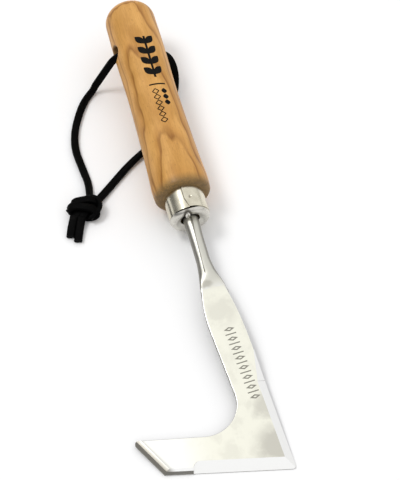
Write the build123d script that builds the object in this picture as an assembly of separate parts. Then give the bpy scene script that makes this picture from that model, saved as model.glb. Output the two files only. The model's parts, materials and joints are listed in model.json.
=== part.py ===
from build123d import *
import math
import os

# A hand patio knife: a turned wooden handle, a two-piece ferrule, an L-shaped blade forged in one
# with its shank and tang, and a knotted hanging lace.
#
# The tool is drawn along Y about the handle's axis, with the blade flat in the XY plane. y = 0 is the
# wood's front face, +Y runs to the butt and -Y to the cutting edge. It is then laid down as it lies
# on a table, on the swell of its handle and on its cutting edge, with the origin on the table under
# the middle of the tool. The lace is drawn in that final place. All sizes are millimetres.

# Handle
HANDLE_LENGTH = 132.0
FACE_RADIUS = 12.6  # flat front face of the wood
SWELL_RADIUS = 15.3  # the widest ring
SWELL_Y = 8.0
SWELL_BOW = 60.0  # radius of the long curve over the swell
SHOULDER_Y = 2.6  # where the rounded shoulder meets that curve
SHOULDER_BULGE = (14.35, 0.8)  # radius and y midway round the shoulder
GRIP_START_Y = 12.0
GRIP_POINTS = [(14.2, 38.0), (13.75, 68.0), (14.3, 104.0)]  # radius and y
NECK_RADIUS = 9.1  # the wood turned down inside the ferrule
NECK_LENGTH = 10.4
BUTT_RADIUS = 14.15
BUTT_CAP = 12.0  # height of the domed end
CROSS_HOLE_Y = 99.0
CROSS_HOLE_RADIUS = 4.0
CROSS_HOLE_TILT = 12.0  # degrees about the handle's axis
CROSS_HOLE_ROUNDING = 0.9

# Ferrule
CUP_RADIUS = 9.9
CUP_WALL = CUP_RADIUS - NECK_RADIUS
CUP_BACK_Y = -1.0
CUP_FRONT_Y = -15.1
CUP_RIM_RADIUS = 10.7  # the thick rim in front of the band, flush with it
CUP_RIM_Y = -12.7
CUP_ROUNDING = 2.3
CUP_LIP_Y = -13.9  # the front face is dished towards its hole
CUP_HOLE_RADIUS = 5.1
BAND_LENGTH = 12.6
BAND_WALL = 0.7
BAND_LIFT = 0.1  # how far the band's centre is above the cup's
SLIT_FOOT_Z = 8.3  # the slit between band and rim opens above this height
SLIT_TOP = (-13.7, 11.4)  # y and z
SLIT_TURN = -9.0  # degrees to the left of the top
SEAM_ANGLE = 8.0  # degrees to the left of the top
LAP_ANGLE = 110.0  # how far round the lapped end takes to blend away
LAP_STEPS = 10
LAP_CLIP = (1.6, 5.5)  # clipped corner of the lapped end
WELD_SPOT = (8.0, -6.6)  # degrees to the right of the top, and y
WELD_SPOT_RADIUS = 1.05
WELD_SPOT_DEPTH = 0.3

# Weld bead from the shank up over the cup's front, a little left of the top
BEAD_CENTRE = (-1.5, -14.7, 6.3)
BEAD_HALF_SIZE = (1.35, 1.2, 3.0)

# Tang, in its glued bore
TANG_RADIUS = 3.6
TANG_TIP_RADIUS = 2.6
TANG_TAPER_Y = 34.0
TANG_END_Y = 62.0
BORE_RADIUS = 4.3
BORE_END_Y = 66.0
GLUE_START_Y = 3.0

# Shank: a forged rod that flares and flattens into the blade
SHANK_START_Y = -12.0
SHANK_END_Y = -60.0
SHANK_SPANS = 12
ROD_LEFT = 3.5
ROD_RIGHT = 3.8
ROD_HALF_HEIGHT = 3.45
ROD_SQUARENESS = 2.2
ROOT_SWELL = 0.4  # how much thicker the rod is where it enters the ferrule
ROOT_SWELL_LENGTH = 12.0
FLARE_YS = (-38.0, -64.0)
FLARE_LEFT = 6.3
FLARE_RIGHT = 8.3
STEP_YS = (-48.0, -57.0)  # the step down from the rod to the flat of the blade
STEP_HALF_HEIGHT = 1.15
STEP_SQUARENESS = 8.0
SECTION_POINTS = 24
CREASE_START = (0.1, -15.0, 3.7)
CREASE_END = (-1.3, -48.0, 3.45)
CREASE_WIDTH = 0.9
CREASE_DEPTH = 0.35

# Blade plate
THICKNESS = 2.5
HEEL = (14.2, -157.5)
OUTER_LEAN = 2.6  # degrees the outer edge leans out from the axis towards the heel
INNER_LEAN = 4.5  # degrees the bar narrows on its inner side
FOOT_TILT = 11.8  # degrees the cutting edge rises towards the toe
FOOT_LENGTH = 62.3
TOE_ANGLE = 119.7  # direction of the toe's end edge
TOE_LENGTH = 22.4
FOOT_TOP_TILT = 10.7
BAR_TOP_LEFT = (-6.9, -80.0)
BAR_TOP_RIGHT_Y = -87.0
NECK_LEFT = [(-6.5, -63.0), (-3.4, -50.0)]
NECK_RIGHT = [(9.0, -67.0), (5.0, -50.0)]
NECK_TAPER = 0.35
HOOK_RADIUS = 16.5
CORNER_RADII = [HOOK_RADIUS, 1.4, 0.9, 1.5]  # hook, tip, toe, heel
ARRIS_RADIUS = 0.35

# Ground bevels on the upper face: widths, and the thickness left at the edge
EDGE_LAND = 0.4
OVERRUN = 10.0  # how far a cut runs on past the metal
TOE_END_GRINDS = [(2.2, 1.1), (3.4, 1.8)]  # a bevel, then a shallower one that softens its crest
TOE_FRONT_GRINDS = [(1.5, 1.1), (2.4, 1.7)]
FOOT_BEVEL = 5.5
FOOT_BEVEL_LENGTH = 48.5
FOOT_BEVEL_CORNER = 3.5
SIDE_BEVEL = 3.9
SIDE_BEVEL_LENGTH = 46.0
SIDE_BEVEL_RUNOUT = 20.0
RUNOUT_MISS = 0.2  # how far outside the edge the runout ends

# Stamped row of lozenges and bars on the bar
STAMP_COUNT = 15
STAMP_X = 2.4
STAMP_START_Y = -80.5
STAMP_PITCH = 2.7
STAMP_LEAN = 3.9  # degrees the row leans out towards the heel
STAMP_HEIGHT = 5.6
STAMP_WIDTH = 2.3
STAMP_STROKE = 0.6
STAMP_HOLLOW = 0.43  # unmarked middle of a lozenge, as a share of its size
STAMP_DEPTH = 0.2

# Lace
LACE_RADIUS = 1.7
LACE_ROUTE = [
    (-26.3, 32.4, 4.2),
    (-24.2, 41.5, 2.3),
    (-25.5, 55.0, 1.9),
    (-26.8, 69.5, 1.9),
    (-23.8, 84.0, 1.9),
    (-16.3, 99.5, 2.0),
    (-7.3, 109.6, 3.0),
    (-0.4, 109.3, 14.4),
    (6.6, 109.3, 25.6),
    (14.5, 109.5, 24.2),
    (27.0, 109.4, 22.0),
    (37.5, 108.8, 19.6),
    (39.3, 98.6, 7.0),
    (29.3, 81.0, 2.1),
    (15.7, 62.0, 1.9),
    (0.9, 52.3, 1.9),
    (-13.3, 39.6, 2.0),
    (-25.1, 28.6, 4.0),
]
ARC_SHARE = 0.45  # part of the shorter run that each bend takes
KNOT_CENTRE = (-30.5, 27.1, 4.6)
KNOT_HALF_SIZE = (9.2, 7.6, 4.5)
KNOT_ROUNDING = 3.6
TAIL_SECTION = (3.6, 2.2)
TAIL_ROUNDING = 0.7
TAILS = [((-35.9, 24.0, 3.0), (-40.1, 11.9, 1.3)), ((-32.3, 22.5, 3.0), (-36.5, 7.9, 1.3))]


def polar(angle, length):
    """A vector in the blade's plane, from its direction in degrees and its length."""
    return Vector(length * math.cos(math.radians(angle)), length * math.sin(math.radians(angle)))


def swell_profile(y):
    """The handle's radius along the long curve over its swell."""
    return SWELL_RADIUS - SWELL_BOW + math.sqrt(SWELL_BOW**2 - (y - SWELL_Y) ** 2)


def bore_core(start_y, end_y):
    """What fills the handle's bore for the tang from one y to another."""
    core = Cylinder(BORE_RADIUS, end_y - start_y, align=(Align.CENTER, Align.CENTER, Align.MIN))
    return Pos(Y=start_y) * Rot(X=-90) * core


def make_handle():
    """The turned handle, with its neck, its bore for the tang and its cross hole for the lace."""
    shoulder_radius = swell_profile(SHOULDER_Y)
    grip_radius = swell_profile(GRIP_START_Y)
    grip_slope = -(GRIP_START_Y - SWELL_Y) / SWELL_BOW
    cap_y = HANDLE_LENGTH - BUTT_CAP
    with BuildPart() as turned:
        with BuildSketch():
            with BuildLine():
                Polyline(
                    (0, 0),
                    (0, -NECK_LENGTH),
                    (NECK_RADIUS, -NECK_LENGTH),
                    (NECK_RADIUS, 0),
                    (FACE_RADIUS, 0),
                )
                ThreePointArc((FACE_RADIUS, 0), SHOULDER_BULGE, (shoulder_radius, SHOULDER_Y))
                ThreePointArc(
                    (shoulder_radius, SHOULDER_Y), (SWELL_RADIUS, SWELL_Y), (grip_radius, GRIP_START_Y)
                )
                Spline(
                    (grip_radius, GRIP_START_Y),
                    *GRIP_POINTS,
                    (BUTT_RADIUS, cap_y),
                    tangents=[(grip_slope, 1), (0, 1)],
                )
                Spline(
                    (BUTT_RADIUS, cap_y),
                    (BUTT_RADIUS * math.sqrt(0.5), cap_y + BUTT_CAP * math.sqrt(0.5)),
                    (0, HANDLE_LENGTH),
                    tangents=[(0, 1), (-1, 0)],
                )
                Line((0, HANDLE_LENGTH), (0, 0))
            make_face()
        revolve(axis=Axis.Y)
    bored = turned.part - bore_core(-NECK_LENGTH, BORE_END_Y)
    drill = Rot(Y=90) * Cylinder(CROSS_HOLE_RADIUS, 3 * SWELL_RADIUS)
    cross_hole = Pos(Y=CROSS_HOLE_Y) * Rot(Y=CROSS_HOLE_TILT) * drill
    drilled = bored - cross_hole
    mouths = new_edges(bored, cross_hole, combined=drilled)
    return fillet(mouths, CROSS_HOLE_ROUNDING)


def make_ferrule_cup():
    """The drawn cup over the wood's neck, with the hole that the shank passes through."""
    with BuildPart() as cup:
        with BuildSketch():
            with BuildLine():
                Polyline(
                    (CUP_HOLE_RADIUS, CUP_LIP_Y),
                    (CUP_RIM_RADIUS - CUP_ROUNDING - CUP_WALL, CUP_FRONT_Y),
                    (CUP_RIM_RADIUS, CUP_FRONT_Y),
                    (CUP_RIM_RADIUS, CUP_RIM_Y),
                    (CUP_RADIUS, CUP_RIM_Y),
                    (CUP_RADIUS, CUP_BACK_Y),
                    (NECK_RADIUS, CUP_BACK_Y),
                    (NECK_RADIUS, CUP_LIP_Y + CUP_WALL),
                    (CUP_HOLE_RADIUS, CUP_LIP_Y + CUP_WALL),
                    close=True,
                )
            make_face()
            outer_corner = vertices().sort_by_distance((CUP_RIM_RADIUS, CUP_FRONT_Y))[0]
            fillet(outer_corner, CUP_ROUNDING)
            inner_corner = vertices().sort_by_distance((NECK_RADIUS, CUP_LIP_Y + CUP_WALL))[0]
            fillet(inner_corner, CUP_ROUNDING - CUP_WALL)
            lip = vertices().sort_by_distance((CUP_HOLE_RADIUS, CUP_LIP_Y))[0]
            fillet(lip, CUP_WALL / 2)
        revolve(axis=Axis.Y)
    slit_top_y, slit_top_z = SLIT_TOP
    slit_outline = Polyline(
        (CUP_RIM_Y, SLIT_FOOT_Z), (CUP_RIM_Y, slit_top_z), (slit_top_y, slit_top_z), close=True
    )
    wedge = extrude(Plane.YZ * make_face(slit_outline), CUP_RIM_RADIUS, both=True)
    wedge -= Rot(X=90) * Cylinder(CUP_RADIUS, -4 * CUP_FRONT_Y)
    return cup.part - Rot(Y=SLIT_TURN) * wedge


def round_the_axis(angle, radius):
    """A point at a radius from the handle's axis, its angle in degrees clockwise from the top."""
    return (radius * math.sin(math.radians(angle)), radius * math.cos(math.radians(angle)))


def make_ferrule_band():
    """The rolled band: a strip round the cup, its end lapped over the top and spot welded."""
    front = Plane((0, -BAND_LENGTH, 0), x_dir=(1, 0, 0), z_dir=(0, -1, 0))
    inner_radius = CUP_RADIUS + BAND_LIFT
    outer_radius = inner_radius + BAND_WALL
    ring = Circle(outer_radius) - Circle(inner_radius)
    lap_points = []
    for step in range(LAP_STEPS + 1):
        share = step / LAP_STEPS
        stand_off = BAND_WALL * (1 - share)
        lap_points.append(round_the_axis(share * LAP_ANGLE - SEAM_ANGLE, outer_radius + stand_off))
    middle_angle = LAP_ANGLE / 2 - SEAM_ANGLE
    inside_radius = outer_radius - BAND_WALL / 2
    with BuildSketch() as lap:
        with BuildLine():
            Spline(*lap_points)
            Line(lap_points[-1], round_the_axis(LAP_ANGLE - SEAM_ANGLE, inside_radius))
            ThreePointArc(
                round_the_axis(LAP_ANGLE - SEAM_ANGLE, inside_radius),
                round_the_axis(middle_angle, inside_radius),
                round_the_axis(-SEAM_ANGLE, inside_radius),
            )
            Line(round_the_axis(-SEAM_ANGLE, inside_radius), lap_points[0])
        make_face()
    centred = Pos(Z=BAND_LIFT)
    band = centred * extrude(front * ring, -BAND_LENGTH)
    lapped_end = centred * extrude(front * lap.sketch, -BAND_LENGTH)
    seam_x = round_the_axis(-SEAM_ANGLE, outer_radius)[0]
    clip_width, clip_length = LAP_CLIP
    clip_outline = Polyline(
        (seam_x - 1, -BAND_LENGTH - 1),
        (seam_x + clip_width, -BAND_LENGTH - 1),
        (seam_x + clip_width, -BAND_LENGTH),
        (seam_x, -BAND_LENGTH + clip_length),
        (seam_x - 1, -BAND_LENGTH + clip_length),
        close=True,
    )
    lapped_end -= extrude(make_face(clip_outline), 2 * outer_radius)
    spot_angle, spot_y = WELD_SPOT
    dent_radius = (WELD_SPOT_RADIUS**2 + WELD_SPOT_DEPTH**2) / (2 * WELD_SPOT_DEPTH)
    lap_share = (spot_angle + SEAM_ANGLE) / LAP_ANGLE
    surface = outer_radius + BAND_WALL * (1 - lap_share)
    spot_x, spot_z = round_the_axis(spot_angle, surface - WELD_SPOT_DEPTH + dent_radius)
    dent = centred * Pos(spot_x, spot_y, spot_z) * Sphere(dent_radius)
    return band + lapped_end - dent


def ease(value, limits):
    """0 at the first limit, 1 at the second, and a smooth rise between them."""
    first, second = limits
    share = min(1, max(0, (value - first) / (second - first)))
    return share * share * (3 - 2 * share)


def shank_section(y):
    """The closed section of the shank at y: nearly round on the rod, nearly square at the blade."""
    flare = ease(y, FLARE_YS)
    step = ease(y, STEP_YS)
    swell = ROOT_SWELL * (1 - ease(y, (CUP_FRONT_Y, CUP_FRONT_Y - ROOT_SWELL_LENGTH)))
    left = ROD_LEFT + swell + (FLARE_LEFT - ROD_LEFT) * flare
    right = ROD_RIGHT + swell + (FLARE_RIGHT - ROD_RIGHT) * flare
    half_height = ROD_HALF_HEIGHT + swell + (STEP_HALF_HEIGHT - ROD_HALF_HEIGHT) * step
    squareness = ROD_SQUARENESS + (STEP_SQUARENESS - ROD_SQUARENESS) * step
    points = []
    for index in range(SECTION_POINTS):
        angle = 2 * math.pi * index / SECTION_POINTS
        across = math.copysign(abs(math.cos(angle)) ** (2 / squareness), math.cos(angle))
        upward = math.copysign(abs(math.sin(angle)) ** (2 / squareness), math.sin(angle))
        points.append(((right - left) / 2 + (left + right) / 2 * across, y, half_height * upward))
    return make_face(Spline(*points, periodic=True))


def blade_corners():
    """The blade's straight-sided outline, from the bar's top left round to its top right."""
    heel = Vector(*HEEL)
    toe = heel + polar(180 - FOOT_TILT, FOOT_LENGTH)
    tip = toe + polar(TOE_ANGLE, TOE_LENGTH)
    bar_top = Vector(*BAR_TOP_LEFT)
    bar_slope = math.tan(math.radians(INNER_LEAN))
    top_slope = math.tan(math.radians(FOOT_TOP_TILT))
    # The inner edge is x = bar_top.X + bar_slope * (bar_top.Y - y), and the foot's top edge is
    # y = tip.Y - top_slope * (x - tip.X). They cross at the hook's sharp corner.
    drop = bar_top.Y - tip.Y + top_slope * (bar_top.X - tip.X)
    drop /= 1 - bar_slope * top_slope
    hook = Vector(bar_top.X + bar_slope * drop, bar_top.Y - drop)
    rise = BAR_TOP_RIGHT_Y - heel.Y
    bar_top_right = Vector(heel.X - rise * math.tan(math.radians(OUTER_LEAN)), BAR_TOP_RIGHT_Y)
    return bar_top, hook, tip, toe, heel, bar_top_right


def make_plate():
    """The flat L-shaped plate, its upper arris eased, before grinding."""
    corners = blade_corners()
    with BuildPart() as plate:
        with BuildSketch(Plane.XY.offset(-THICKNESS / 2)):
            with BuildLine():
                edge = FilletPolyline(*corners, radius=CORNER_RADII)
                left = Spline(edge @ 0, *NECK_LEFT, tangents=[(edge % 0) * -1, (NECK_TAPER, 1)])
                right = Spline(edge @ 1, *NECK_RIGHT, tangents=[edge % 1, (-NECK_TAPER, 1)])
                Line(left @ 1, right @ 1)
            make_face()
        extrude(amount=THICKNESS)
        upper_arris = faces().sort_by(Axis.Z)[-1].edges().sort_by(Axis.Y)[:-1]
        fillet(upper_arris, ARRIS_RADIUS)
    return plate.part


def bevel_cut(start, end, width, land=EDGE_LAND):
    """What a ground bevel removes: above a plane that slopes down to the right of start to end."""
    along = (end - start).normalized()
    outward = Vector(along.Y, -along.X)
    section = Plane(start, x_dir=outward, z_dir=along)
    top = THICKNESS / 2
    slope = (THICKNESS - land) / width
    reach = width + OVERRUN
    outline = Polyline((0, top), (reach, top - slope * reach), (reach, top + 1), (0, top + 1), close=True)
    if section.y_dir.Z < 0:
        outline = mirror(outline, Plane.XZ)
    return extrude(section * make_face(outline), (end - start).length)


def grind_toe(plate):
    """The toe ground down along its end and along the front, each with a softened crest."""
    tip, toe, heel = blade_corners()[2:5]
    to_heel = (heel - toe).normalized()
    front_end = toe + to_heel * (FOOT_LENGTH - FOOT_BEVEL_LENGTH)
    down_end = (toe - tip).normalized()
    for width, land in TOE_END_GRINDS:
        inset = Vector(-down_end.Y, down_end.X) * width
        start = tip + inset - down_end * OVERRUN
        end = toe + inset + down_end * OVERRUN
        plate -= bevel_cut(start, end, width, land)
    for width, land in TOE_FRONT_GRINDS:
        inset = Vector(-to_heel.Y, to_heel.X) * width
        start = toe + inset - to_heel * OVERRUN
        plate -= bevel_cut(start, front_end + inset, width, land)
    return plate


def foot_bevel():
    """The bevel along the foot's cutting edge, which ends in a rounded corner short of the toe."""
    heel = Vector(*HEEL)
    along = polar(180 - FOOT_TILT, 1)
    inward = polar(90 - FOOT_TILT, 1)
    start = heel + inward * FOOT_BEVEL - along * OVERRUN
    end = heel + inward * FOOT_BEVEL + along * FOOT_BEVEL_LENGTH
    cut = bevel_cut(end, start, FOOT_BEVEL)
    with BuildSketch(Plane(heel, x_dir=along, z_dir=(0, 0, 1))) as area:
        with BuildLine():
            FilletPolyline(
                (-OVERRUN, OVERRUN),
                (FOOT_BEVEL_LENGTH, OVERRUN),
                (FOOT_BEVEL_LENGTH, -FOOT_BEVEL),
                (-OVERRUN, -FOOT_BEVEL),
                radius=FOOT_BEVEL_CORNER,
            )
            Line((-OVERRUN, -FOOT_BEVEL), (-OVERRUN, OVERRUN))
        make_face()
    return cut & extrude(area.sketch, THICKNESS, both=True)


def side_bevel():
    """The bevel up the outer edge, which runs out towards the neck."""
    heel = Vector(*HEEL)
    up = polar(90 + OUTER_LEAN, 1)
    inward = polar(180 + OUTER_LEAN, 1)
    start = heel + inward * SIDE_BEVEL - up * OVERRUN
    end = heel + inward * SIDE_BEVEL + up * SIDE_BEVEL_LENGTH
    runout = heel + up * (SIDE_BEVEL_LENGTH + SIDE_BEVEL_RUNOUT) - inward * RUNOUT_MISS
    return bevel_cut(start, end + up, SIDE_BEVEL) + bevel_cut(end, runout, SIDE_BEVEL)


def stamped_row():
    """The shallow stamped marks on the bar: lozenges and bars in turn."""
    depth = 2 * STAMP_DEPTH
    half_width = STAMP_WIDTH / 2
    half_height = STAMP_HEIGHT / 2
    lozenge = make_face(
        Polyline((half_height, 0), (0, half_width), (-half_height, 0), (0, -half_width), close=True)
    )
    hollow = scale(lozenge, by=STAMP_HOLLOW)
    row = Pos(STAMP_X, STAMP_START_Y, THICKNESS / 2 - STAMP_DEPTH) * Rot(Z=STAMP_LEAN)
    marks = []
    for index in range(STAMP_COUNT):
        mark = Rectangle(STAMP_HEIGHT, STAMP_STROKE) if index % 2 else lozenge - hollow
        marks.append(extrude(row * Pos(Y=-index * STAMP_PITCH) * mark, depth))
    return marks


def make_tang():
    """The round tang, tapered to its driven end."""
    with BuildPart() as tang:
        with BuildSketch():
            with BuildLine():
                Polyline(
                    (0, SHANK_START_Y),
                    (TANG_RADIUS, SHANK_START_Y),
                    (TANG_RADIUS, TANG_TAPER_Y),
                    (TANG_TIP_RADIUS, TANG_END_Y - TANG_TIP_RADIUS),
                    (0, TANG_END_Y),
                    (0, SHANK_START_Y),
                )
            make_face()
        revolve(axis=Axis.Y)
    return tang.part


def make_blade():
    """Blade, shank and tang, forged in one piece."""
    plate = grind_toe(make_plate()) - foot_bevel() - side_bevel()
    span = (SHANK_END_Y - SHANK_START_Y) / SHANK_SPANS
    shank = loft([shank_section(SHANK_START_Y + span * index) for index in range(SHANK_SPANS + 1)])
    crease_start = Vector(*CREASE_START)
    crease_run = Vector(*CREASE_END) - crease_start
    across = Plane(crease_start, x_dir=(1, 0, 0), z_dir=crease_run.normalized())
    groove = make_face(
        Polyline(
            (-CREASE_WIDTH, CREASE_DEPTH), (CREASE_WIDTH, CREASE_DEPTH), (0, -CREASE_DEPTH), close=True
        )
    )
    if across.y_dir.Z < 0:
        groove = mirror(groove, Plane.XZ)
    blade = plate + shank + make_tang()
    blade -= extrude(across * groove, crease_run.length)
    for mark in stamped_row():
        blade -= mark
    return blade


def make_tang_adhesive(blade):
    """The set adhesive that fills the bore round the tang."""
    return bore_core(GLUE_START_Y, BORE_END_Y) - blade


def make_tack_weld(blade, cup):
    """The bead that tacks the shank to the cup, at the top of the cup's hole."""
    bead = Pos(*BEAD_CENTRE) * scale(Sphere(1), by=BEAD_HALF_SIZE)
    return bead - blade - cup


def resting_pose():
    """Where the tool lies: on the swell of its handle and along the ground part of its foot."""
    heel = Vector(*HEEL)
    bevel_end = heel + polar(180 - FOOT_TILT, FOOT_BEVEL_LENGTH)
    roll_ratio = (heel.Y - bevel_end.Y) / (heel.X - bevel_end.X)
    underside = THICKNESS / 2
    # The swell is an arc of radius SWELL_BOW, so its lowest point is that far below its centre.
    reach = SWELL_Y - heel.Y + heel.X * roll_ratio
    drop = SWELL_RADIUS - SWELL_BOW - underside
    pitch = math.atan2(drop, reach) + math.asin(SWELL_BOW / math.hypot(reach, drop))
    roll = math.asin(math.tan(pitch) * roll_ratio)
    lift = SWELL_BOW + (SWELL_RADIUS - SWELL_BOW) * math.cos(pitch) - SWELL_Y * math.sin(pitch)
    print(f"lies at {math.degrees(pitch):.3f} degrees of pitch and {math.degrees(roll):.3f} of roll")
    return Pos(Z=lift) * Rot(X=math.degrees(pitch)) * Rot(Y=math.degrees(roll))


def make_lace_loop():
    """The loop of lace, from the knot through the cross hole and back, as it lies."""
    points = [Vector(*point) for point in LACE_ROUTE]
    radii = []
    for before, corner, after in zip(points, points[1:], points[2:]):
        shorter = min((corner - before).length, (after - corner).length)
        half_turn = math.radians((corner - before).get_angle(after - corner)) / 2
        radii.append(ARC_SHARE * shorter / math.tan(half_turn))
    print("lace bend radii", [round(radius, 1) for radius in radii])
    path = FilletPolyline(*points, radius=radii)
    section = Plane(path @ 0, z_dir=path % 0) * Circle(LACE_RADIUS)
    loop = sweep(section, path=path)
    expected = math.pi * LACE_RADIUS**2 * path.length
    print(f"lace loop {path.length:.1f} long, volume {loop.volume:.1f} against {expected:.1f}")
    return loop


def make_tail(start, end):
    """One cut tail of the lace."""
    start = Vector(*start)
    run = Vector(*end) - start
    section = Plane(start, x_dir=(run.Y, -run.X, 0), z_dir=run.normalized())
    return extrude(section * RectangleRounded(*TAIL_SECTION, TAIL_ROUNDING), run.length)


def make_knot(loop, tails):
    """The drawn-up knot, as the rounded lump that it fills."""
    half_x, half_y, half_z = KNOT_HALF_SIZE
    lump = extrude(Ellipse(half_x, half_y), half_z, both=True)
    lump = fillet(lump.edges(), KNOT_ROUNDING)
    return Pos(*KNOT_CENTRE) * lump - loop - tails


def main():
    os.makedirs("parts", exist_ok=True)
    blade = make_blade()
    cup = make_ferrule_cup()
    tool = {
        "handle": make_handle(),
        "ferrule_cup": cup,
        "ferrule_band": make_ferrule_band(),
        "blade": blade,
        "tack_weld": make_tack_weld(blade, cup),
        "tang_adhesive": make_tang_adhesive(blade),
    }
    pose = resting_pose()
    lying = {name: pose * piece for name, piece in tool.items()}
    box = Compound(list(lying.values())).bounding_box()
    to_origin = Pos(-box.center().X, -box.center().Y, -box.min.Z)
    parts = {name: to_origin * piece for name, piece in lying.items()}
    loop = make_lace_loop()
    tails = [make_tail(start, end) for start, end in TAILS]
    parts["lace_loop"] = loop
    parts["lace_tails"] = Compound(tails)
    parts["lace_knot"] = make_knot(loop, tails)
    print(f"moved by x {-box.center().X:.3f}, y {-box.center().Y:.3f}, z {-box.min.Z:.3f}")
    for name, piece in parts.items():
        low = piece.bounding_box().min
        high = piece.bounding_box().max
        print(f"{name:14s} solids {len(piece.solids())} volume {piece.volume:9.1f}", end="  ")
        print(f"x {low.X:.2f} {high.X:.2f}  y {low.Y:.2f} {high.Y:.2f}  z {low.Z:.2f} {high.Z:.2f}")
        export_step(piece, f"parts/{name}.step")


main()
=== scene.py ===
import json
import math

import bpy
from mathutils import Euler, Matrix, Vector
from mathutils.bvhtree import BVHTree


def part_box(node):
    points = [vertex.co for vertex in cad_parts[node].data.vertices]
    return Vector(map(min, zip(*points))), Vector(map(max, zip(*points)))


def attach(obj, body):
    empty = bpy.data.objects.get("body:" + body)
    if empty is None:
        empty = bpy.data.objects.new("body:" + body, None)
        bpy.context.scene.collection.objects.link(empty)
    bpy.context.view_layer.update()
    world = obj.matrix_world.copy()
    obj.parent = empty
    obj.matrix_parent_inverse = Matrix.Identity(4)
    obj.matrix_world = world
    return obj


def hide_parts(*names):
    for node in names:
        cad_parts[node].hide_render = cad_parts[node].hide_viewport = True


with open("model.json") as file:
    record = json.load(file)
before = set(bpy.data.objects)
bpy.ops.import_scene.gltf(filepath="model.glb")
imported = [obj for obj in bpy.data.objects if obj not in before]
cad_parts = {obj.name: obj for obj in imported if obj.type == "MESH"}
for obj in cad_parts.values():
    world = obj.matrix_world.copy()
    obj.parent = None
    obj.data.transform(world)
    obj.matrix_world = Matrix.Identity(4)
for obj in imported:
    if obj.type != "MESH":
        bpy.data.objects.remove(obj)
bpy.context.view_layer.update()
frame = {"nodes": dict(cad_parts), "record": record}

# A hand patio knife with a knotted lace, lying on a pale floor. All lengths are in metres. The tool's
# own frame is the CAD's: Y along the handle's axis from the wood's front face, Z up out of the blade.

MM = 0.001
ADHESIVE_MIDDLE_Y = 34.5  # millimetres along the tool, between the adhesive's two ends

# Light
SURROUND_BRIGHTENS_TOWARDS = (0.35, 0.0, 1.0)
SURROUND_LEVELS = [(0.08, 0.22), (0.55, 1.0)]
SURROUND_STRENGTH = 0.95
KEY_PLACE = (-0.55, 0.30, 1.20)
KEY_SIZE = 0.4
KEY_POWER = 5.6

# Camera
CAMERA_TARGET = Vector((0.0219, -0.0162, 0.015))
CAMERA_AZIMUTH = -14.94
CAMERA_ELEVATION = 55.12
CAMERA_DISTANCE = 0.6663
LENS = 97.5  # millimetres on a 36 mm long side

# The lace's route, the same points as in the CAD
LACE_ROUTE = [
    (-0.0263, 0.0324, 0.0042),
    (-0.0242, 0.0415, 0.0023),
    (-0.0255, 0.0550, 0.0019),
    (-0.0268, 0.0695, 0.0019),
    (-0.0238, 0.0840, 0.0019),
    (-0.0163, 0.0995, 0.0020),
    (-0.0073, 0.1096, 0.0030),
    (-0.0004, 0.1093, 0.0144),
    (0.0066, 0.1093, 0.0256),
    (0.0145, 0.1095, 0.0242),
    (0.0270, 0.1094, 0.0220),
    (0.0375, 0.1088, 0.0196),
    (0.0393, 0.0986, 0.0070),
    (0.0293, 0.0810, 0.0021),
    (0.0157, 0.0620, 0.0019),
    (0.0009, 0.0523, 0.0019),
    (-0.0133, 0.0396, 0.0020),
    (-0.0251, 0.0286, 0.0040),
]
LACE_WIDTH = 0.0042
LACE_THICKNESS = 0.0025
# How far the flat lace is turned on edge, in degrees, at shares of the loop's length
LACE_TWIST = [
    (0.0, 50),
    (0.10, 25),
    (0.22, 5),
    (0.32, 70),
    (0.42, 85),
    (0.50, 0),
    (0.66, 0),
    (0.82, 28),
    (0.94, 5),
    (1.0, 10),
]
SETTLED_HEIGHT = 0.0022  # the route's height where the lace lies on the floor
SETTLING_RISE = 0.003  # how far above that it hangs free
FLOOR_GAP = 0.00015
FLOOR_HALF_SIZE = 3.0


def tool_frame():
    """The matrix of the tool's own frame, from a mount's direction and the adhesive round the tang."""
    mounts = {mount["name"]: mount for mount in frame["record"]["mounts"]}
    x, y, z = mounts["blade_underside"]["axis"]
    turn = Matrix.Rotation(math.atan2(y, -z), 4, "X") @ Matrix.Rotation(math.asin(-x), 4, "Y")
    low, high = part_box("tang_adhesive")
    adhesive_middle = Vector((0, ADHESIVE_MIDDLE_Y * MM, 0))
    middle = (Vector(low) + Vector(high)) / 2
    return Matrix.Translation(middle - turn @ adhesive_middle) @ turn


TOOL = tool_frame()


def make_camera():
    """The camera, looking down at the tool from its blade end."""
    camera = bpy.data.objects.new("camera", bpy.data.cameras.new("camera"))
    turn = Euler((math.radians(90 - CAMERA_ELEVATION), 0, math.radians(CAMERA_AZIMUTH)))
    back = turn.to_matrix() @ Vector((0, 0, 1))
    camera.location = CAMERA_TARGET + back * CAMERA_DISTANCE
    camera.rotation_euler = turn
    camera.data.sensor_width = 36
    camera.data.lens = LENS
    bpy.context.scene.collection.objects.link(camera)
    bpy.context.scene.camera = camera


def smooth_path(points, resolution=16):
    """Points along the smooth NURBS line that a route's points control."""
    curve = bpy.data.curves.new("route", "CURVE")
    curve.dimensions = "3D"
    spline = curve.splines.new("NURBS")
    spline.points.add(len(points) - 1)
    for point, place in zip(spline.points, points):
        point.co = (*place, 1)
    spline.order_u = 3
    spline.use_endpoint_u = True
    spline.resolution_u = resolution
    holder = bpy.data.objects.new("route", curve)
    mesh = bpy.data.meshes.new_from_object(holder)
    path = [vertex.co.copy() for vertex in mesh.vertices]
    bpy.data.objects.remove(holder)
    bpy.data.curves.remove(curve)
    bpy.data.meshes.remove(mesh)
    return path


def between(keys, share):
    """The value at a share of the way, eased from one key to the next."""
    for (start, first), (end, second) in zip(keys, keys[1:]):
        if share <= end:
            part = (share - start) / (end - start)
            part = part * part * (3 - 2 * part)
            return first + (second - first) * part
    return keys[-1][1]


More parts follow.
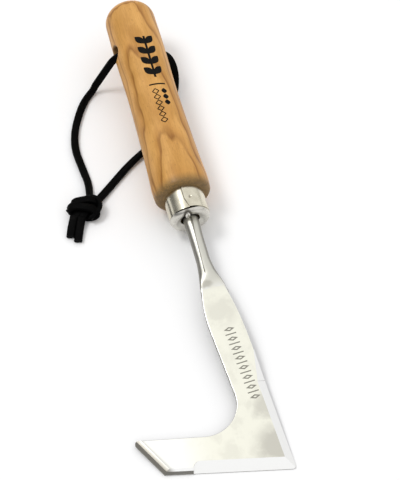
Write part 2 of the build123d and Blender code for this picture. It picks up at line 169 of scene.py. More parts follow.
def strap_section(width, thickness, points=20, squareness=4.0):
    """The outline of a flat lace: a rectangle with well rounded corners, wide along the first axis."""
    outline = []
    for index in range(points):
        angle = 2 * math.pi * index / points
        across = math.copysign(abs(math.cos(angle)) ** (2 / squareness), math.cos(angle))
        upward = math.copysign(abs(math.sin(angle)) ** (2 / squareness), math.sin(angle))
        outline.append((width / 2 * across, thickness / 2 * upward))
    return outline


def make_strap(name, path, width, thickness, twist, settle=False):
    """A flat lace along a path, closed at both ends. settle lays its low stretches on the floor."""
    outline = strap_section(width, thickness)
    travelled = [0.0]
    for before, after in zip(path, path[1:]):
        travelled.append(travelled[-1] + (after - before).length)
    vertices = []
    for index, place in enumerate(path):
        ahead = path[min(index + 1, len(path) - 1)]
        behind = path[max(index - 1, 0)]
        tangent = (ahead - behind).normalized()
        flat = tangent.cross(Vector((0, 0, 1))).normalized()
        turn = Matrix.Rotation(math.radians(between(twist, travelled[index] / travelled[-1])), 3, tangent)
        side = turn @ flat
        upward = side.cross(tangent)
        ring = [place + side * across + upward * up for across, up in outline]
        lowest = min(point.z for point in ring)
        lift = max(0.0, FLOOR_GAP - lowest)
        if settle:
            lying = 1 - min(1.0, max(0.0, (place.z - SETTLED_HEIGHT) / SETTLING_RISE))
            lift += (FLOOR_GAP - lowest - lift) * lying
        vertices += [point + Vector((0, 0, lift)) for point in ring]
    count = len(outline)
    faces = [list(range(count))[::-1], list(range(len(vertices) - count, len(vertices)))]
    for ring in range(len(path) - 1):
        for index in range(count):
            after = (index + 1) % count
            start = ring * count
            faces.append([start + index, start + after, start + count + after, start + count + index])
    mesh = bpy.data.meshes.new(name)
    mesh.from_pydata(vertices, [], faces)
    mesh.update()
    for polygon in mesh.polygons:
        polygon.use_smooth = len(polygon.vertices) == 4
    piece = bpy.data.objects.new(name, mesh)
    bpy.context.scene.collection.objects.link(piece)
    return piece


# The knot, in its own frame: first axis to the right of the camera, second away from it, third up
KNOT_CENTRE = Vector((-0.0305, 0.0271, 0.0046))
KNOT_TURN = Matrix.Rotation(math.radians(CAMERA_AZIMUTH), 3, "Z")
KNOT_STRANDS = {
    "knot_leg_left": [
        (4.4, 6.8, -0.4),
        (2.6, 4.2, -0.3),
        (0.0, 1.0, -0.4),
        (-3.0, -3.0, -0.6),
        (-4.6, -5.8, -1.6),
    ],
    "knot_leg_right": [
        (6.6, 4.4, -0.4),
        (4.4, 2.2, -0.2),
        (2.2, -1.0, -0.4),
        (0.2, -4.2, -0.8),
        (-1.0, -6.8, -1.8),
    ],
    "knot_band_far": [
        (2.6, 3.2, -2.6),
        (-3.0, 2.2, -3.2),
        (-5.2, 1.8, -2.6),
        (-6.0, 1.6, 0.4),
        (-4.6, 1.8, 2.6),
        (-1.0, 2.6, 2.9),
        (4.0, 3.8, 2.5),
        (7.6, 3.4, 0.2),
        (7.8, 1.6, -2.6),
        (3.6, 0.0, -3.2),
    ],
    "knot_band_near": [
        (3.6, -1.8, -3.0),
        (-2.6, -2.0, -3.2),
        (-7.0, -1.0, -2.6),
        (-7.8, -1.0, 0.2),
        (-6.0, -0.9, 2.4),
        (-0.8, -1.6, 3.0),
        (4.0, -2.2, 2.8),
        (7.4, -3.8, 0.6),
        (6.0, -4.9, -2.4),
        (1.4, -4.2, -3.2),
    ],
    "knot_coil": [
        (1.0, 6.6, -2.0),
        (4.0, 6.3, 0.4),
        (7.5, 3.9, 1.0),
        (8.8, 0.2, 0.6),
        (7.3, -3.9, 0.2),
        (3.8, -6.1, -1.4),
    ],
}
KNOT_STRAND_TURNS = {"knot_leg_left": 10, "knot_leg_right": -10, "knot_coil": 70}  # degrees, or flat
TAIL_WIDTH = 0.0043
TAIL_THICKNESS = 0.0026
TAILS = {
    "lace_tail_left": [(-4.9, -4.6, -1.2), (-5.6, -8.6, -2.2), (-6.2, -12.6, -3.0), (-6.3, -17.0, -3.2)],
    "lace_tail_right": [(-0.8, -5.4, -1.2), (-1.4, -10.0, -2.2), (-1.9, -14.8, -3.0), (-2.2, -19.8, -3.2)],
}


def from_knot(points):
    """Points of the knot's frame, in millimetres, brought into the scene."""
    return [KNOT_CENTRE + KNOT_TURN @ (Vector(point) * MM) for point in points]


def make_lace(leather):
    """The lace: its loop, its drawn-up knot and its two cut tails."""
    path = smooth_path(LACE_ROUTE)
    loop = make_strap("lace_loop_strap", path, LACE_WIDTH, LACE_THICKNESS, LACE_TWIST, settle=True)
    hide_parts("lace_loop")
    knot_pieces = []
    for name, points in KNOT_STRANDS.items():
        strand = smooth_path(from_knot(points))
        turn = KNOT_STRAND_TURNS.get(name, 0)
        knot_pieces.append(make_strap(name, strand, LACE_WIDTH, LACE_THICKNESS, [(0, turn), (1, turn)]))
    tail_pieces = []
    for name, points in TAILS.items():
        tail = smooth_path(from_knot(points))
        tail_pieces.append(make_strap(name, tail, TAIL_WIDTH, TAIL_THICKNESS, [(0, 0), (1, 8)]))
    for piece in knot_pieces:
        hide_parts("lace_knot")
    for piece in tail_pieces:
        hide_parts("lace_tails")
    for piece in [loop, *knot_pieces, *tail_pieces]:
        piece.data.materials.append(leather)
        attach(piece, "root")


class Surface:
    """A material in the making: its Principled shader, and short calls for the nodes that drive it."""

    def __init__(self, name, **values):
        self.material = bpy.data.materials.new(name)
        self.material.use_nodes = True
        self.tree = self.material.node_tree
        self.shader = self.tree.nodes["Principled BSDF"]
        for socket, value in values.items():
            self.shader.inputs[socket.replace("_", " ")].default_value = value

    def node(self, kind, **settings):
        """A new node with its settings."""
        made = self.tree.nodes.new(f"ShaderNode{kind}")
        for key, value in settings.items():
            setattr(made, key, value)
        return made

    def feed(self, socket, value):
        """Gives a socket a value, or another node's output."""
        if isinstance(value, bpy.types.NodeSocket):
            self.tree.links.new(value, socket)
        else:
            socket.default_value = value

    def drive(self, socket, value):
        """Drives one of the shader's own sockets."""
        self.feed(self.shader.inputs[socket], value)

    def maths(self, operation, first, second=0.0, third=0.0):
        """The result of a math node."""
        made = self.node("Math", operation=operation)
        for socket, value in zip(made.inputs, (first, second, third)):
            self.feed(socket, value)
        return made.outputs[0]

    def vector(self, operation, first, second=(0, 0, 0)):
        """The vector result of a vector math node."""
        made = self.node("VectorMath", operation=operation)
        self.feed(made.inputs[0], first)
        self.feed(made.inputs[1], second)
        return made.outputs["Vector"]

    def length(self, vector):
        """The length of a vector."""
        made = self.node("VectorMath", operation="LENGTH")
        self.feed(made.inputs[0], vector)
        return made.outputs["Value"]

    def parts(self, vector):
        """The three components of a vector."""
        made = self.node("SeparateXYZ")
        self.feed(made.inputs[0], vector)
        return made.outputs

    def within(self, place, value=None):
        """The surface's place in a frame given by its matrix, in millimetres."""
        source = self.node("TexCoord").outputs["Object"] if value is None else value
        mapped = self.node("Mapping", vector_type="TEXTURE")
        self.feed(mapped.inputs["Vector"], source)
        mapped.inputs["Location"].default_value = place.to_translation()
        mapped.inputs["Rotation"].default_value = place.to_euler("XYZ")
        return self.vector("MULTIPLY", mapped.outputs[0], (1 / MM, 1 / MM, 1 / MM))

    def noise(self, vector, stretch, detail=3.0, roughness=0.5):
        """Noise from 0 to 1 whose lumps have the given sizes, in millimetres."""
        made = self.node("TexNoise")
        scaled = self.vector("DIVIDE", vector, stretch)
        self.feed(made.inputs["Vector"], scaled)
        made.inputs["Scale"].default_value = 1
        made.inputs["Detail"].default_value = detail
        made.inputs["Roughness"].default_value = roughness
        return made.outputs["Fac"]

    def fade(self, value, start, end):
        """0 at start and beyond, rising smoothly to 1 at end."""
        made = self.node("MapRange", interpolation_type="SMOOTHSTEP")
        self.feed(made.inputs["Value"], value)
        low, high = sorted((start, end))
        made.inputs["From Min"].default_value = low
        made.inputs["From Max"].default_value = high
        made.inputs["To Min"].default_value = 0 if start < end else 1
        made.inputs["To Max"].default_value = 1 if start < end else 0
        return made.outputs["Result"]

    def spread(self, value, low, high):
        """A value from 0 to 1 spread over another range."""
        made = self.node("MapRange")
        self.feed(made.inputs["Value"], value)
        made.inputs["To Min"].default_value = low
        made.inputs["To Max"].default_value = high
        return made.outputs["Result"]

    def ramp(self, value, stops):
        """A colour for each value, through stops of place and colour."""
        made = self.node("ValToRGB")
        self.feed(made.inputs[0], value)
        elements = made.color_ramp.elements
        while len(elements) < len(stops):
            elements.new(0.5)
        for element, (place, colour) in zip(elements, stops):
            element.position = place
            element.color = (*colour, 1)
        return made.outputs["Color"]

    def mix(self, factor, first, second, blend="MIX"):
        """Two colours mixed."""
        made = self.node("Mix", data_type="RGBA", blend_type=blend)
        self.feed(made.inputs["Factor"], factor)
        for socket, value in zip(made.inputs[6:8], (first, second)):
            self.feed(socket, (*value, 1) if isinstance(value, tuple) else value)
        return made.outputs[2]

    def bump(self, height, depth, strength=1.0):
        """Bumps the shader's surface by a height from 0 to 1, depth metres deep."""
        made = self.node("Bump")
        self.feed(made.inputs["Height"], height)
        made.inputs["Distance"].default_value = depth
        made.inputs["Strength"].default_value = strength
        self.tree.links.new(made.outputs[0], self.shader.inputs["Normal"])


# Wood, in millimetres of the tool's frame
PITH_DISTANCE = 34.0  # from the handle's axis, on the far side from the figured top
PITH_ANGLE = -7.0  # degrees of the figured top, clockwise from straight up
PITH_LEAN = -0.075  # how fast the rings' distance grows along the handle
RING_SPACING = 4.2
CROSS_HOLE_Y = 99.0
CROSS_HOLE_TILT = 12.0
CROSS_HOLE_RIM = (5.3, 4.3)  # distances from the hole's axis over which the wood darkens
SHOULDER_DARKENS = (7.0, 0.0)  # places along the axis over which the swell's shoulder darkens: darker end grain, with painted shade over it


def wood_material():
    """Lacquered turned wood: growth rings round a pith outside the handle, fibres and flecks."""
    wood = Surface("lacquered_wood", Coat_Weight=0.12, Coat_Roughness=0.25, Specular_IOR_Level=0.2)
    place = wood.within(TOOL)
    along = wood.parts(place)[1]
    drift = wood.noise(place, (15, 45, 15), 2)
    waver = wood.noise(place, (4, 26, 4), 2)
    angle = math.radians(PITH_ANGLE)
    pith = (-PITH_DISTANCE * math.sin(angle), 0, -PITH_DISTANCE * math.cos(angle))
    from_pith = wood.vector("MULTIPLY", wood.vector("SUBTRACT", place, pith), (1, 0, 1))
    distance = wood.maths("ADD", wood.length(from_pith), wood.spread(drift, -5.0, 5.0))
    distance = wood.maths("ADD", distance, wood.spread(waver, -0.8, 0.8))
    distance = wood.maths("MULTIPLY_ADD", along, PITH_LEAN, distance)
    ring = wood.maths("FRACT", wood.maths("DIVIDE", distance, RING_SPACING))
    rings = [
        (0.0, (0.60, 0.310, 0.085)),
        (0.40, (0.65, 0.345, 0.098)),
        (0.72, (0.54, 0.262, 0.064)),
        (0.90, (0.31, 0.130, 0.028)),
        (1.0, (0.57, 0.292, 0.078)),
    ]
    colour = wood.ramp(ring, rings)
    plain = wood.fade(wood.noise(place, (9, 22, 9), 2), 0.4, 0.65)
    colour = wood.mix(wood.maths("MULTIPLY", plain, 0.45), colour, (0.62, 0.325, 0.088))
    patches = wood.fade(wood.noise(place, (8, 26, 8), 3), 0.35, 0.65)
    tint = wood.mix(patches, (0.88, 0.85, 0.76), (1.10, 1.13, 1.20))
    colour = wood.mix(1.0, colour, tint, "MULTIPLY")
    fibre = wood.noise(place, (0.35, 9, 0.35), 3, 0.6)
    streaks = wood.ramp(fibre, [(0.25, (0.86, 0.83, 0.78)), (0.7, (1.06, 1.06, 1.06))])
    colour = wood.mix(1.0, colour, streaks, "MULTIPLY")
    fleck = wood.fade(wood.noise(place, (0.5, 2.0, 0.5), 1), 0.62, 0.72)
    colour = wood.mix(wood.maths("MULTIPLY", fleck, 0.32), colour, (0.30, 0.14, 0.045))
    # The swell's shoulder darkens: its end grain, with painted shade where it faces down and forward.
    end_grain_and_shade = wood.fade(along, *SHOULDER_DARKENS)
    speckle = wood.spread(wood.noise(place, (0.8, 0.8, 0.8), 2), 0.55, 1.15)
    dark_grain_and_shade = wood.maths("MINIMUM", wood.maths("MULTIPLY", end_grain_and_shade, speckle), 1.0)
    colour = wood.mix(dark_grain_and_shade, colour, (0.150, 0.100, 0.040))
    shade = wood.maths("MULTIPLY", cross_hole_shade(wood, place), 0.8)
    colour = wood.mix(shade, colour, (0.16, 0.085, 0.035))
    wood.drive("Base Color", colour)
    wood.drive("Roughness", wood.spread(fibre, 0.4, 0.52))
    wood.bump(fibre, 0.00004, 0.5)
    return wood.material


def cross_hole_shade(wood, place):
    """1 in the cross hole, fading to 0 a little way outside its rim."""
    tilt = Matrix.Rotation(math.radians(CROSS_HOLE_TILT), 4, "Y")
    hole = Matrix.Translation((0, CROSS_HOLE_Y, 0)) @ tilt
    in_hole = wood.node("Mapping", vector_type="TEXTURE")
    wood.feed(in_hole.inputs["Vector"], place)
    in_hole.inputs["Location"].default_value = hole.to_translation()
    in_hole.inputs["Rotation"].default_value = hole.to_euler("XYZ")
    from_axis = wood.length(wood.vector("MULTIPLY", in_hole.outputs[0], (0, 1, 1)))
    return wood.fade(from_axis, *CROSS_HOLE_RIM)


def print_ink():
    """Black printing ink, thin enough for the wood's fibres to show in it."""
    ink = Surface("print_ink", Specular_IOR_Level=0.08)
    place = ink.within(TOOL)
    fibre = ink.noise(place, (0.35, 8, 0.35), 3, 0.6)
    tone = ink.ramp(fibre, [(0.3, (0.0015, 0.0015, 0.0015)), (0.75, (0.010, 0.009, 0.007))])
    ink.drive("Base Color", tone)
    ink.drive("Roughness", ink.spread(fibre, 0.45, 0.6))
    return ink.material


# The ferrule's dark seam and weld spot, and painted shade in its slit and round the weld bead, in
# millimetres of the tool's frame
# One colour serves both the band's dark seam and the painted shade on the cup.
GRIME_AND_SHADE = (0.045, 0.036, 0.024)
SLIT_RADIUS = 10.45  # the cup's rim is larger, and its slit lies within this
SLIT_FRONT_Y = -13.75
BEAD_CENTRE = (-1.5, -14.7, 6.3)
BEAD_SHADE_SIZE = (2.7, 3.5, 4.7)  # half of what the painted shade round the weld bead takes up
BEAD_SHADE_FADE = (1.1, 0.8)  # shares of that size over which it darkens
BEAD_SHADE_STRENGTH = 0.8
SEAM_ANGLE = 8.0  # degrees to the left of the top
SEAM_CLIP_Y = -7.1  # in front of it the lapped end's corner is clipped away to the right
SEAM_CLIP_SLOPE = 0.29
SEAM_HALF_WIDTH = 0.16
WELD_SPOT = (1.65, -6.6, 10.9)
WELD_SPOT_RADIUS = 1.0


def cup_painted_shade(cup, place):
    """Painted shade: 1 in the slit between the cup's rim and the band, and nearly so round the weld bead.
    """
    radius = cup.length(cup.vector("MULTIPLY", place, (1, 0, 1)))
    behind = cup.maths("GREATER_THAN", cup.parts(place)[1], SLIT_FRONT_Y)
    slit = cup.maths("MULTIPLY", cup.maths("LESS_THAN", radius, SLIT_RADIUS), behind)
    from_bead = cup.vector("SUBTRACT", place, BEAD_CENTRE)
    from_bead = cup.length(cup.vector("DIVIDE", from_bead, BEAD_SHADE_SIZE))
    round_bead = cup.maths("MULTIPLY", cup.fade(from_bead, *BEAD_SHADE_FADE), BEAD_SHADE_STRENGTH)
    return cup.maths("MAXIMUM", slit, round_bead)


def seam_grime(band, place):
    """1 along the edge of the band's lapped end, and part dark in its weld spot."""
    x, y, z = band.parts(place)
    turn = math.radians(SEAM_ANGLE)
    aside = band.maths("MULTIPLY_ADD", z, math.sin(turn), band.maths("MULTIPLY", x, math.cos(turn)))
    clipped = band.maths("MAXIMUM", band.maths("SUBTRACT", SEAM_CLIP_Y, y), 0.0)
    aside = band.maths("SUBTRACT", aside, band.maths("MULTIPLY", clipped, SEAM_CLIP_SLOPE))
    line = band.fade(band.maths("ABSOLUTE", aside), 2 * SEAM_HALF_WIDTH, SEAM_HALF_WIDTH)
    line = band.maths("MULTIPLY", line, band.maths("GREATER_THAN", z, 0.0))
    from_spot = band.length(band.vector("SUBTRACT", place, WELD_SPOT))
    spot = band.fade(from_spot, WELD_SPOT_RADIUS, 0.3 * WELD_SPOT_RADIUS)
    return band.maths("MAXIMUM", band.maths("MULTIPLY", line, 0.75), band.maths("MULTIPLY", spot, 0.55))


def nickel_material(name, pale, dark, roughness, dark_marks_and_shade):
    """Bright nickel plate, faintly cloudy, scratched round the axis, and darkened by the given mask: the
    band's dark seam and weld spot, and painted shade in the cup's crevices.
    """
    nickel = Surface(name, Metallic=1.0)
    place = nickel.within(TOOL)
    cloud = nickel.noise(place, (5, 5, 5), 3)
    scratch = nickel.noise(place, (2.5, 0.12, 2.5), 3, 0.7)
    haze = nickel.spread(cloud, roughness, roughness + 0.1)
    plate = nickel.mix(nickel.fade(cloud, 0.3, 0.7), dark, pale)
    nickel.drive("Base Color", nickel.mix(dark_marks_and_shade(nickel, place), plate, GRIME_AND_SHADE))
    nickel.drive("Roughness", nickel.maths("ADD", haze, nickel.spread(scratch, 0, 0.06)))
    nickel.bump(scratch, 0.000006, 0.4)
    return nickel.material


# Steel, in millimetres of the tool's frame
STAMP_START = (2.4, -80.5)
STAMP_LENGTH = 40.5
STAMP_HALF_WIDTH = 3.1
STAMP_LEAN = 3.9  # degrees
STAMP_LEVELS = (0.95, 1.15)  # heights between the stamped marks' floors and the blade's face
DULL_PATCHES = [
    ((8.5, -145.0), 15.0, 1.0),
    ((9.0, -124.0), 9.0, 0.8),
    ((1.0, -70.0), 12.0, 0.45),
    ((-14.0, -143.0), 8.0, 0.3),
]
STEP_SHADE = ((-2.0, -53.4), 3.4, 0.6)  # the hollow at the left of the step down from the rod
STEP_SHADE_SHAPE = (0.75, 1.3, 0)  # it is wider than it is long
TOE_END = (-46.8, -144.8)  # the toe's corner on the cutting edge
TOE_INWARD = (0.869, 0.495)  # square to the toe's end
TOE_RIM_SHADE = (5.5, 1.6)  # distances from the toe's end over which painted shade darkens its rim
EDGE_FACING = (0.92, 0.7)  # how far up a surface faces where the darkening of the plate's edges and the rod's flanks begins and is full: sheared edges a little duller, with painted shade on surfaces facing sideways
TOE_PALES = (-20.0, -42.0)  # places across the foot over which it turns nearly white


def patch(surface, along_plate, centre, radius, strength, shape=(1, 1, 1)):
    """A soft patch on the blade: its strength at the centre and 0 beyond the radius."""
    offset = surface.vector("SUBTRACT", along_plate, (*centre, 0))
    offset = surface.vector("MULTIPLY", offset, shape)
    return surface.maths("MULTIPLY", surface.fade(surface.length(offset), radius, 0.35 * radius), strength)


def in_stamped_row(steel, place):
    """1 on the floors of the stamped marks."""
    row = Matrix.Translation((*STAMP_START, 0)) @ Matrix.Rotation(math.radians(STAMP_LEAN), 4, "Z")
    in_row = steel.node("Mapping", vector_type="TEXTURE")
    steel.feed(in_row.inputs["Vector"], place)
    in_row.inputs["Location"].default_value = row.to_translation()
    in_row.inputs["Rotation"].default_value = row.to_euler("XYZ")
    across, along, height = steel.parts(in_row.outputs[0])
    inside = steel.maths("LESS_THAN", steel.maths("ABSOLUTE", across), STAMP_HALF_WIDTH)
    for limit, operation in ((-STAMP_LENGTH, "GREATER_THAN"), (2.0, "LESS_THAN")):
        inside = steel.maths("MULTIPLY", inside, steel.maths(operation, along, limit))
    low, high = STAMP_LEVELS
    inside = steel.maths("MULTIPLY", inside, steel.maths("GREATER_THAN", height, low))
    return steel.maths("MULTIPLY", inside, steel.maths("LESS_THAN", height, high))


def steel_material():
    """Satin stainless steel: cream clouds on the flats and pale ground bevels, with painted shade at the
    step, on the toe's rim, the somewhat duller edges and the stamped marks' floors.
    """
    steel = Surface("satin_steel", Metallic=1.0)
    place = steel.within(TOOL)
    upright = TOOL.to_3x3().to_4x4()
    normal = steel.within(upright, steel.node("TexCoord").outputs["Normal"])
    facing = steel.maths("MULTIPLY", steel.parts(normal)[2], MM)
    along_plate = steel.vector("MULTIPLY", place, (1, 1, 0))
    haze = steel.noise(place, (7, 9, 7), 4, 0.6)
    wander = steel.vector("ADD", along_plate, steel.spread(steel.noise(place, (6, 6, 6), 3), -6.0, 6.0))
    dull = steel.spread(steel.fade(haze, 0.45, 0.7), 0.0, 0.3)
    for centre, radius, strength in DULL_PATCHES:
        dull = steel.maths("MAXIMUM", dull, patch(steel, wander, centre, radius, strength))
    colour = steel.mix(dull, (0.90, 0.89, 0.78), (0.58, 0.565, 0.50))
    across, along, _ = steel.parts(place)
    colour = steel.mix(steel.fade(across, *TOE_PALES), colour, (0.96, 0.96, 0.92))
    ground = steel.fade(facing, 0.98, 0.95)
    rod = steel.fade(along, -60, -50)
    bevels = steel.maths("MULTIPLY", ground, steel.maths("SUBTRACT", 1.0, rod))
    colour = steel.mix(bevels, colour, (0.97, 0.97, 0.96))
    colour = steel.mix(steel.maths("MULTIPLY", rod, 0.8), colour, (0.58, 0.57, 0.52))
    ragged = steel.vector("ADD", along_plate, steel.spread(steel.noise(place, (2, 2, 2), 2), -0.8, 0.8))
    step_shade = patch(steel, ragged, *STEP_SHADE, STEP_SHADE_SHAPE)
    colour = steel.mix(step_shade, colour, (0.42, 0.40, 0.34))
    from_toe_end = steel.node("VectorMath", operation="DOT_PRODUCT")
    steel.feed(from_toe_end.inputs[0], steel.vector("SUBTRACT", place, (*TOE_END, 0)))
    from_toe_end.inputs[1].default_value = (*TOE_INWARD, 0)
    # Painted shade along the toe's rim, where its ground bevel reflects dark.
    toe_rim_shade = steel.maths("MULTIPLY", steel.fade(from_toe_end.outputs["Value"], *TOE_RIM_SHADE), 0.9)
    colour = steel.mix(toe_rim_shade, colour, (0.24, 0.22, 0.18))
    # Surfaces facing sideways darken: the sheared plate edges are a little duller, and the rest is painted
    # shade, also on the rod's flanks.
    colour = steel.mix(steel.fade(facing, *EDGE_FACING), colour, (0.30, 0.29, 0.26))
    # Painted shade on the floors of the stamped marks.
    colour = steel.mix(in_stamped_row(steel, place), colour, (0.30, 0.29, 0.25))
    brushed = steel.noise(place, (0.10, 5, 0.10), 3, 0.7)
    satin = steel.maths("ADD", steel.spread(dull, 0.30, 0.38), steel.spread(rod, 0.0, 0.12))
    steel.drive("Base Color", colour)
    steel.drive("Roughness", steel.maths("ADD", satin, steel.spread(brushed, -0.04, 0.06)))
    steel.bump(brushed, 0.000008, 0.35)
    return steel.material


def weld_material():
    """A bright bead of weld."""
    weld = Surface("weld_bead", Metallic=1.0)
    place = weld.within(TOOL)
    ripple = weld.noise(place, (0.5, 0.3, 0.5), 2)
    weld.drive("Base Color", weld.mix(ripple, (0.42, 0.39, 0.33), (0.90, 0.89, 0.85)))
    weld.drive("Roughness", weld.spread(ripple, 0.12, 0.3))
    weld.bump(ripple, 0.00004, 0.5)
    return weld.material


def adhesive_material():
    """Set adhesive, hidden in the bore."""
    glue = Surface("set_adhesive", Coat_Weight=0.1)
    place = glue.within(TOOL)
    swirl = glue.noise(place, (3, 8, 3), 3)
    glue.drive("Base Color", glue.mix(swirl, (0.42, 0.33, 0.16), (0.66, 0.56, 0.36)))
    glue.drive("Roughness", glue.spread(swirl, 0.4, 0.6))
    glue.bump(swirl, 0.0002, 0.4)
    return glue.material


def leather_material():
    """Black leather lace: a fine pebbled grain, scuffed paler here and there."""
    leather = Surface("black_leather", Specular_IOR_Level=0.03)
    place = leather.within(Matrix.Identity(4))
    grain = leather.noise(place, (0.45, 0.45, 0.45), 4, 0.6)
    scuff = leather.fade(leather.noise(place, (3, 3, 3), 3, 0.6), 0.55, 0.75)
    colour = leather.mix(scuff, (0.0015, 0.0015, 0.0015), (0.0050, 0.0047, 0.0044))
    leather.drive("Base Color", colour)
    leather.drive("Roughness", leather.spread(grain, 0.42, 0.62))
    leather.bump(grain, 0.00012, 0.6)
    return leather.material


# The black print on the handle: a generic leaf sprig, a bar and two rows of small marks. Each mark is
# a stroke from one place to another, a place being millimetres along the axis and round the wood.
PRINT_LIFT = 0.00004
PRINT_THICKNESS = 0.00012
PRINT_RADIUS = 14.0  # the handle's mean radius there, in millimetres
RAY_START = 0.03  # outside the handle
SPRIG_MIDDLE = 2.6  # round the wood
SPRIG_START = 98.5
SPRIG_END = 70.0
LEAF_PAIRS = 4
LEAF_INSET = 2.0  # from the sprig's end to its first pair
LEAF_RUN = 5.4
LEAF_SPREAD = (0.5, 4.8)  # from the stem to a leaf's foot and to its tip
STEM_HALF_WIDTH = 0.6
LEAF_HALF_WIDTH = 2.0
BAR_PLACE = 65.3
BAR_SPAN = (-2.2, 6.9)  # round the wood
BAR_HALF_WIDTH = 0.42
BOLD_ROW = 5.1
BOLD_START = 60.4
BOLD_COUNT = 3
BOLD_HALF_WIDTH = 1.6
THIN_ROW = 0.3
THIN_START = 60.6
THIN_COUNT = 6
THIN_HALF_WIDTH = 0.24
THIN_REACH = 1.8  # a thin lozenge's half size round the wood
MARK_REACH = 1.7  # a mark's half size along the axis
MARK_PITCH = 3.9
STROKE_STEP = 0.8  # the longest step along a stroke
STROKE_POINT = 0.02  # share of a pointed stroke over which its ends stay open
STROKE_FULLNESS = 0.8


def leaf_marks():
    """The sprig: a stem with pairs of bold leaves."""
    marks = [((SPRIG_START, SPRIG_MIDDLE), (SPRIG_END, SPRIG_MIDDLE), STEM_HALF_WIDTH, False)]
    spacing = (SPRIG_START - SPRIG_END) / LEAF_PAIRS
    foot_away, tip_away = LEAF_SPREAD
    for pair in range(LEAF_PAIRS):
        base = SPRIG_END + LEAF_INSET + pair * spacing
        for side in (-1, 1):
            start = (base, SPRIG_MIDDLE + side * foot_away)
            tip = (base + LEAF_RUN, SPRIG_MIDDLE + side * tip_away)
            marks.append((start, tip, LEAF_HALF_WIDTH, True))
    return marks


def bar_and_row_marks():
    """The separating bar, a row of bold lozenges and a row of thin open lozenges."""
    low, high = BAR_SPAN
    marks = [((BAR_PLACE, low), (BAR_PLACE, high), BAR_HALF_WIDTH, False)]
    for index in range(BOLD_COUNT):
        middle = BOLD_START - index * MARK_PITCH
        start = (middle + MARK_REACH, BOLD_ROW)
        end = (middle - MARK_REACH, BOLD_ROW)
        marks.append((start, end, BOLD_HALF_WIDTH, True))
    for index in range(THIN_COUNT):
        middle = THIN_START - index * MARK_PITCH
        corners = [
            (middle + MARK_REACH, THIN_ROW),
            (middle, THIN_ROW + THIN_REACH),
            (middle - MARK_REACH, THIN_ROW),
            (middle, THIN_ROW - THIN_REACH),
        ]
        for start, end in zip(corners, corners[1:] + corners[:1]):
            marks.append((start, end, THIN_HALF_WIDTH, False))
    return marks


def stroke_grid(start, end, half_width, pointed):
    """Rows of places across a stroke, from its start to its end."""
    run = Vector(end) - Vector(start)
    across = Vector((-run.y, run.x)).normalized()
    steps = max(2, math.ceil(run.length / STROKE_STEP))
    rows = []
    for step in range(steps + 1):
        share = step / steps
        width = half_width
        if pointed:
            inside = min(max(share, STROKE_POINT), 1 - STROKE_POINT)
            width *= math.sin(math.pi * inside) ** STROKE_FULLNESS
        middle = Vector(start) + run * share
        rows.append([middle + across * width * side for side in (-1, -0.5, 0, 0.5, 1)])
    return rows


def make_print(ink):
    """The printed marks, as a thin skin laid on the wood."""
    handle = frame["nodes"]["handle"]
    wood_tree = BVHTree.FromObject(handle, bpy.context.evaluated_depsgraph_get())
    turn = TOOL.to_3x3()
    vertices = []
    faces = []
    for start, end, half_width, pointed in leaf_marks() + bar_and_row_marks():
        rows = stroke_grid(start, end, half_width, pointed)
        first = len(vertices)
        for row in rows:
            for along, around in row:
                angle = around / PRINT_RADIUS
                outward = turn @ Vector((math.sin(angle), 0, math.cos(angle)))
                axis_point = TOOL @ Vector((0, along * MM, 0))
                hit = wood_tree.ray_cast(axis_point + outward * RAY_START, -outward)[0]
                vertices.append(hit + outward * PRINT_LIFT)
        columns = len(rows[0])
        for row in range(len(rows) - 1):
            for column in range(columns - 1):
                corner = first + row * columns + column
                faces.append([corner, corner + 1, corner + columns + 1, corner + columns])
    mesh = bpy.data.meshes.new("handle_print")
    mesh.from_pydata(vertices, [], faces)
    mesh.update()
    piece = bpy.data.objects.new("handle_print", mesh)
    bpy.context.scene.collection.objects.link(piece)
    skin = piece.modifiers.new("skin", "SOLIDIFY")
    skin.thickness = PRINT_THICKNESS
    skin.offset = 0
    piece.data.materials.append(ink)
    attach(piece, "root")
    return piece


def dress(node, material):
    """Gives a CAD node a better material."""
    slots = frame["nodes"][node].material_slots
    for slot in slots:
        slot.link = "OBJECT"
        slot.material = material


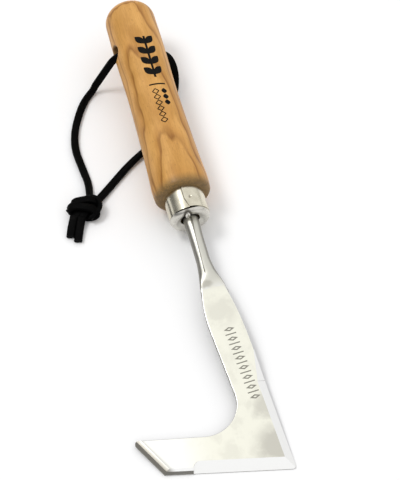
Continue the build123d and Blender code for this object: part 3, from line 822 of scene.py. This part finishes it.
def make_floor():
    """The plain pale floor."""
    floor = Surface("floor", Roughness=0.7)
    place = floor.within(Matrix.Identity(4))
    unevenness = floor.noise(place, (90, 90, 90), 2)
    floor.drive("Base Color", floor.mix(unevenness, (0.94, 0.94, 0.945), (0.96, 0.96, 0.96)))
    half = FLOOR_HALF_SIZE
    corners = [(-half, -half, 0), (half, -half, 0), (half, half, 0), (-half, half, 0)]
    mesh = bpy.data.meshes.new("floor")
    mesh.from_pydata(corners, [], [(0, 1, 2, 3)])
    plane = bpy.data.objects.new("floor", mesh)
    mesh.materials.append(floor.material)
    bpy.context.scene.collection.objects.link(plane)


def make_light(name, place, size, power, target=(0.0, 0.0, 0.0)):
    """A soft square light, aimed at the tool."""
    light = bpy.data.lights.new(name, "AREA")
    light.shape = "SQUARE"
    light.size = size
    light.energy = power
    lamp = bpy.data.objects.new(name, light)
    lamp.location = place
    lamp.rotation_euler = (Vector(place) - Vector(target)).to_track_quat("Z", "Y").to_euler()
    bpy.context.scene.collection.objects.link(lamp)


def make_studio():
    """A white surround overhead and at the right, dark low down at the left, and a soft key light."""
    world = bpy.data.worlds.new("studio")
    world.use_nodes = True
    tree = world.node_tree
    background = tree.nodes["Background"]
    coordinates = tree.nodes.new("ShaderNodeTexCoord")
    towards = tree.nodes.new("ShaderNodeVectorMath")
    towards.operation = "DOT_PRODUCT"
    towards.inputs[1].default_value = SURROUND_BRIGHTENS_TOWARDS
    ramp = tree.nodes.new("ShaderNodeValToRGB")
    tree.links.new(coordinates.outputs["Generated"], towards.inputs[0])
    tree.links.new(towards.outputs["Value"], ramp.inputs[0])
    tree.links.new(ramp.outputs["Color"], background.inputs["Color"])
    for element, (place, value) in zip(ramp.color_ramp.elements, SURROUND_LEVELS):
        element.position = place
        element.color = (value, value, value, 1)
    background.inputs["Strength"].default_value = SURROUND_STRENGTH
    bpy.context.scene.world = world
    make_light("key", KEY_PLACE, KEY_SIZE, KEY_POWER)


make_camera()
make_lace(leather_material())
dress("handle", wood_material())
band_nickel = nickel_material("nickel_band", (0.75, 0.71, 0.58), (0.64, 0.60, 0.48), 0.14, seam_grime)
dress("ferrule_band", band_nickel)
cup_nickel = nickel_material("nickel_cup", (0.72, 0.70, 0.64), (0.58, 0.56, 0.51), 0.2, cup_painted_shade)
dress("ferrule_cup", cup_nickel)
dress("blade", steel_material())
dress("tack_weld", weld_material())
dress("tang_adhesive", adhesive_material())
make_print(print_ink())
make_floor()
make_studio()
bpy.context.scene.view_settings.view_transform = "Standard"
